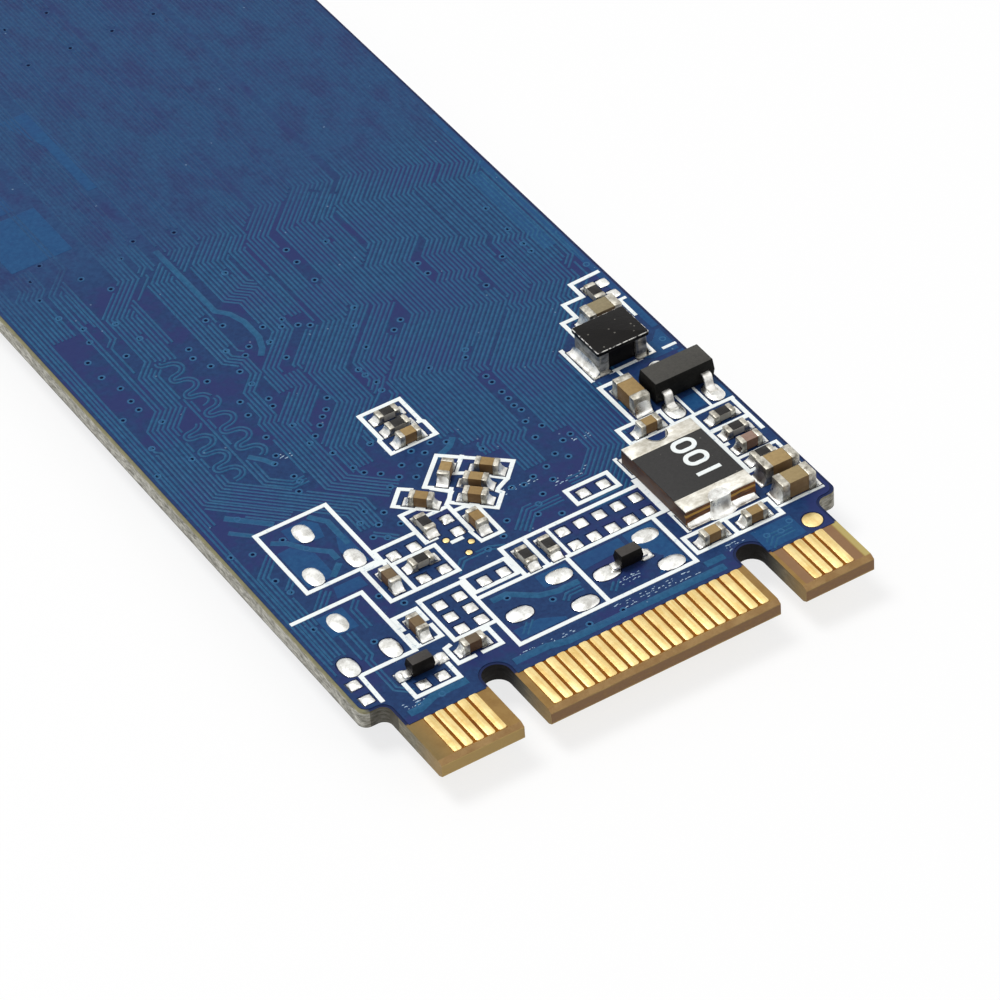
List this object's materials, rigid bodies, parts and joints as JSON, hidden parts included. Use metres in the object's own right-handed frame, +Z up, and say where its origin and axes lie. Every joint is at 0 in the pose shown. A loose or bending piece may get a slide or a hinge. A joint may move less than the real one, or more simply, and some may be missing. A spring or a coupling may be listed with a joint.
{
  "type": "solid state drive module",
  "caption": "Slim keyed circuit-board storage module with gold edge contacts, a half-round screw notch, small chip parts on one face and memory packages on the other.",
  "frame": {"origin": "under the middle of the board, on the outer faces of the underside packages that it rests on", "axes": "+X across the width, +Y along the length from the contact edge to the screw notch, +Z up, out of the face that carries the small chip parts"},
  "size_m": [0.022, 0.08, 0.0033],
  "materials": {
    "laminate": "matt glass-fibre laminate with bare cut edges",
    "mask": "semi-gloss dark blue coat over copper runs",
    "gold": "smooth gold plate",
    "tin": "satin tin and solder",
    "ink": "matt white print",
    "tan_ceramic": "matt fired ceramic",
    "white_ceramic": "matt fired ceramic",
    "dark_coat": "dark satin coat",
    "fuse_core": "dark brown laminate",
    "ferrite": "matt dark ferrite and resin",
    "epoxy": "matt moulded black",
    "can": "plain metal lid"
  },
  "bodies": {
    "root": {"laminate": "laminate", "upper_solder_mask": "mask", "lower_solder_mask": "mask", "upper_edge_contacts": "gold", "lower_edge_contacts": "gold", "screw_notch_plating": "tin", "gold_dots": "gold", "upper_legend": "ink", "lower_legend": "ink", "small_bare_lands": "tin", "oval_bare_lands": "tin", "upper_part_lands": "tin", "lower_part_lands": "tin", "small_capacitor_bodies": "tan_ceramic", "small_capacitor_ends": "tin", "large_capacitor_bodies": "tan_ceramic", "large_capacitor_ends": "tin", "resistor_bodies": "white_ceramic", "resistor_coats": "dark_coat", "resistor_ends": "tin", "chip_solder": "tin", "fuse_laminate": "fuse_core", "fuse_coat": "dark_coat", "fuse_foils": "tin", "fuse_digits": "ink", "fuse_solder": "tin", "inductor_core": "ferrite", "inductor_plate": "ferrite", "inductor_feet": "tin", "inductor_solder": "tin", "transistor_case": "epoxy", "transistor_leads": "tin", "diode_cases": "epoxy", "diode_leads": "tin", "controller_case": "epoxy", "controller_balls": "tin", "inner_flash_case": "epoxy", "inner_flash_balls": "tin", "outer_flash_case": "epoxy", "outer_flash_balls": "tin", "crystal_base": "white_ceramic", "crystal_lid": "can", "regulator_case": "epoxy", "regulator_leads": "tin", "choke_core": "ferrite", "choke_plate": "ferrite", "choke_feet": "tin", "lower_capacitor_bodies": "tan_ceramic", "lower_capacitor_ends": "tin", "lower_large_bodies": "tan_ceramic", "lower_large_ends": "tin", "lower_resistor_bodies": "white_ceramic", "lower_resistor_coats": "dark_coat", "lower_resistor_ends": "tin", "lower_solder": "tin"}
  },
  "joints": []
}
